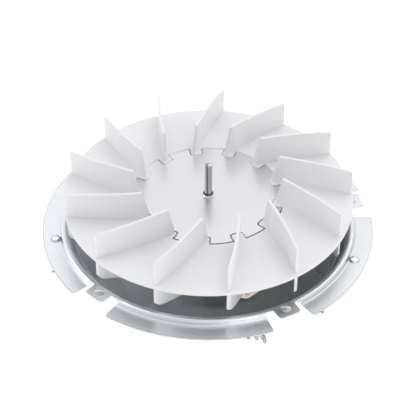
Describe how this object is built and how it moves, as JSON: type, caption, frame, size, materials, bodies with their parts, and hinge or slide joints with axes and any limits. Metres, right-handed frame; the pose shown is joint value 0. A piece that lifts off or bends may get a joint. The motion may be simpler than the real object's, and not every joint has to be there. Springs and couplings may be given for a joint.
{
  "type": "oven fan motor",
  "caption": "Shaded-pole fan motor for an oven: a white double-sided bladed impeller turns on a shaft above a pressed dish-shaped mounting plate, with the motor hung below.",
  "frame": {"origin": "on the shaft axis where its free end begins, at the relief groove above the hub bush", "axes": "+Z along the shaft toward its free end; the plate's two screw holes lie on a line along X on the -Y side"},
  "size_m": [0.1736, 0.1729, 0.0821],
  "materials": {
    "white_plastic": "satin",
    "bright_sheet": "bright rolled",
    "steel": "ground",
    "galvanised_sheet": "galvanised",
    "lamination_steel": "varnished laminations",
    "cast_aluminium": "as cast",
    "thrust_washer": "fibre",
    "sintered_bronze": "sintered",
    "oil_felt": "oiled felt",
    "cream_plastic": "satin",
    "copper_winding": "enamelled copper wire",
    "cream_tape": "woven tape",
    "tinned_brass": "tinned",
    "copper_ring": "bare copper",
    "zinc_hardware": "zinc plated"
  },
  "bodies": {
    "stator": {"mounting_plate": "galvanised_sheet", "stator_core": "lamination_steel", "stack_rivets": "zinc_hardware", "coil_limb": "lamination_steel", "bobbin": "cream_plastic", "winding": "copper_winding", "winding_wrap": "cream_tape", "live_terminal": "tinned_brass", "neutral_terminal": "tinned_brass", "shading_rings": "copper_ring", "upper_bracket": "galvanised_sheet", "lower_bracket": "galvanised_sheet", "upper_bearing": "sintered_bronze", "lower_bearing": "sintered_bronze", "upper_felt": "oil_felt", "lower_felt": "oil_felt", "upper_retainer": "steel", "lower_retainer": "steel", "plate_spacers": "zinc_hardware", "motor_screws": "zinc_hardware", "motor_nuts": "zinc_hardware"},
    "rotor": {"shaft": "steel", "hub_bush": "steel", "hub_disc": "bright_sheet", "impeller": "white_plastic", "rotor_core": "lamination_steel", "rotor_cage": "cast_aluminium", "upper_washer": "thrust_washer", "lower_washer": "thrust_washer"}
  },
  "joints": [
    {"name": "rotor_spin", "type": "hinge", "parent": "stator", "child": "rotor", "pos_m": [0, 0, 0], "axis": [0, 0, 1], "continuous": true}
  ]
}
